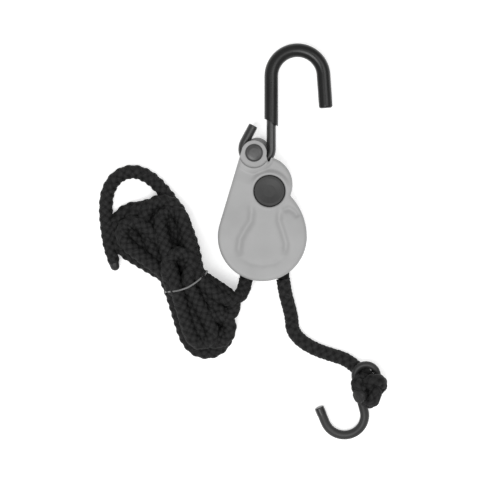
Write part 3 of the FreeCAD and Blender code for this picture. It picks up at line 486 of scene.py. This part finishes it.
def tie_band():
    """The thin band round the hank's waist: a flat strip that follows its strands."""
    count, half = 96, 0.45  # places round it, and half its width
    ring = np.array(TIE_RING)
    around = np.arange(len(ring) + 1)
    closed = np.vstack((ring, ring[:1]))
    at = np.linspace(0, len(ring), count, endpoint=False)
    path = np.stack([np.interp(at, around, closed[:, k]) for k in range(3)], 1)
    for _ in range(5):
        path = (np.roll(path, 1, 0) + 2 * path + np.roll(path, -1, 0)) / 4
    middle = np.array([0.0, 10.4])  # of the strands, across the hank and up
    vertices = []
    for across, height, bow in path:
        out = np.array([across, height]) - middle
        out /= np.linalg.norm(out)
        for side, lift in ((-half, 0.3), (-half * 0.8, 0.8), (half * 0.8, 0.8), (half, 0.3)):
            c, z = np.array([across, height]) + out * lift
            vertices.append(np.array(in_hank(bow + side, c, max(z, 0.15))) * MM)
    faces = []
    for i in range(count):
        k = (i + 1) % count
        for j in range(4):
            m = (j + 1) % 4
            faces.append((i * 4 + j, i * 4 + m, k * 4 + m, k * 4 + j))
    return new_object("hank_band", vertices, faces, tie_plastic, "case")


band = tie_band()
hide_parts("hank_tie")

# ---------------------------------------------------------------- front shell

def near_polyline(x, y, corners):
    """Distance from each point to a polyline, and how far along it the nearest place is, 0 to 1."""
    best, where = np.full(x.shape, 1e9), np.zeros(x.shape)
    for k, ((ax, ay), (bx, by)) in enumerate(zip(corners, corners[1:])):
        length = (bx - ax) ** 2 + (by - ay) ** 2
        share = np.clip(((x - ax) * (bx - ax) + (y - ay) * (by - ay)) / length, 0, 1)
        far = np.hypot(x - ax - share * (bx - ax), y - ay - share * (by - ay))
        where = np.where(far < best, (k + share) / (len(corners) - 1), where)
        best = np.minimum(best, far)
    return best, where


def ease(value, low, high):
    share = np.clip((value - low) / (high - low), 0, 1)
    return share * share * (3 - 2 * share)


BUTTON, LUG = (3.6, 23.1), (-4.17, 42.4)  # where their middles are
SHELL_GRAIN = 0.00042  # the even mesh's spacing, in metres
VALLEYS = [
    # corners, width and depth of each soft valley in the case's face
    ([(-6.0, 17.0), (-5.4, 12.0), (-5.8, 8.0), (-8.7, 3.5), (-11.2, -1.2), (-11.9, -6.0),
      (-11.2, -10.0)], 1.8, 1.15),
    ([(8.6, 14.4), (8.4, 8.0), (10.4, 2.0), (12.0, -3.6), (11.4, -9.6)], 1.6, 1.0),
    ([(9.6, 13.2), (13.4, 14.2), (16.4, 12.4), (18.2, 9.6)], 1.5, 0.8),
    ([(-10.8, -10.6), (-6.0, -13.4), (0.0, -14.3), (6.0, -13.3), (10.8, -10.4)], 1.3, 0.3),
]


def relief(x, y):
    """How far the case's face lies above its flat form, in millimetres: soft valleys, a fall
    away above the button's collar, a lip round the button, a groove under the lug, a crown."""
    up = np.zeros(x.shape)
    for corners, width, depth in VALLEYS:
        far, where = near_polyline(x, y, corners)
        fade = ease(where, -0.05, 0.18) * ease(1.05 - where, 0.0, 0.22)
        up -= depth * np.exp(-(far / width) ** 2) * fade
    off, turn = np.hypot(x - BUTTON[0], y - BUTTON[1]), np.arctan2(y - BUTTON[1], x - BUTTON[0])
    above = ease(np.cos(turn - math.radians(84.0)), 0.15, 0.75)
    lug_off = np.hypot(x - LUG[0], y - LUG[1])
    up -= 1.6 * ease(off, 9.0, 11.4) * above * ease(lug_off, 8.6, 11.0)
    up += 0.22 * np.exp(-((off - 8.9) / 0.55) ** 2)
    below = ease(LUG[1] - y, 0.0, 4.0)
    up -= 0.35 * np.exp(-((lug_off - 8.9) / 0.7) ** 2) * below
    crown = np.exp(-(x ** 2 + (y + 2.0) ** 2) / 15.0 ** 2)
    return up + 0.25 * crown - 0.25


def finer_shell(node, voxel):
    """A copy of a moulded CAD node as one even, fine mesh."""
    whole = nodes[node].data.copy()
    work = bmesh.new()
    work.from_mesh(whole)
    bmesh.ops.remove_doubles(work, verts=work.verts, dist=1e-6)
    work.to_mesh(whole)
    work.free()
    copy = bpy.data.objects.new("copy", whole)
    bpy.context.scene.collection.objects.link(copy)
    even = copy.modifiers.new("even", "REMESH")
    even.mode = "VOXEL"
    even.voxel_size = voxel
    fine = bpy.data.meshes.new_from_object(copy.evaluated_get(
        bpy.context.evaluated_depsgraph_get()))
    bpy.data.objects.remove(copy)
    return fine


face_mesh = finer_shell("front_shell", SHELL_GRAIN)
places = np.array([v.co for v in face_mesh.vertices], float)
facing = np.array([v.normal for v in face_mesh.vertices], float)
on_face = ease(places[:, 2] / MM, 15.2, 16.8) * ease(facing[:, 2], 0.1, 0.7)
places[:, 2] += relief(places[:, 0] / MM, places[:, 1] / MM) * on_face * MM
face_mesh.vertices.foreach_set("co", places.ravel())
face_mesh.shade_smooth()
face_mesh.materials.clear()
face_mesh.materials.append(case_plastic)
sculpted = bpy.data.objects.new("front_shell_moulded", face_mesh)
bpy.context.scene.collection.objects.link(sculpted)
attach(sculpted, "case")
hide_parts("front_shell")

# ---------------------------------------------------------------- floor and light

floor = bpy.data.objects.new("floor", bpy.data.meshes.new("floor"))
floor.data.from_pydata([(-3, -3, 0), (3, -3, 0), (3, 3, 0), (-3, 3, 0)], [], [(0, 1, 2, 3)])
floor.location.z = cad_box[0][2] - 0.0004
floor.data.materials.append(moulded("floor_paper", grey(0.90), grey(0.92), 0.8, 900.0,
                                   Emission_Strength=0.35))
bpy.context.scene.collection.objects.link(floor)

world = bpy.data.worlds.new("studio")
bpy.context.scene.world = world
world.use_nodes = True
world.node_tree.nodes["Background"].inputs["Color"].default_value = (1.0, 1.0, 1.0, 1.0)
world.node_tree.nodes["Background"].inputs["Strength"].default_value = 0.55


def soft_light(name, place, width, power):
    lamp = bpy.data.lights.new(name, "AREA")
    lamp.shape = "DISK"
    lamp.size = width
    lamp.energy = power
    holder = bpy.data.objects.new(name, lamp)
    holder.location = place
    holder.rotation_euler = (-Vector(place)).to_track_quat("-Z", "Y").to_euler()
    bpy.context.scene.collection.objects.link(holder)


soft_light("key", (-0.3, -0.45, 1.5), 0.9, 15.0)
soft_light("fill", (0.6, 0.2, 1.4), 1.0, 6.0)
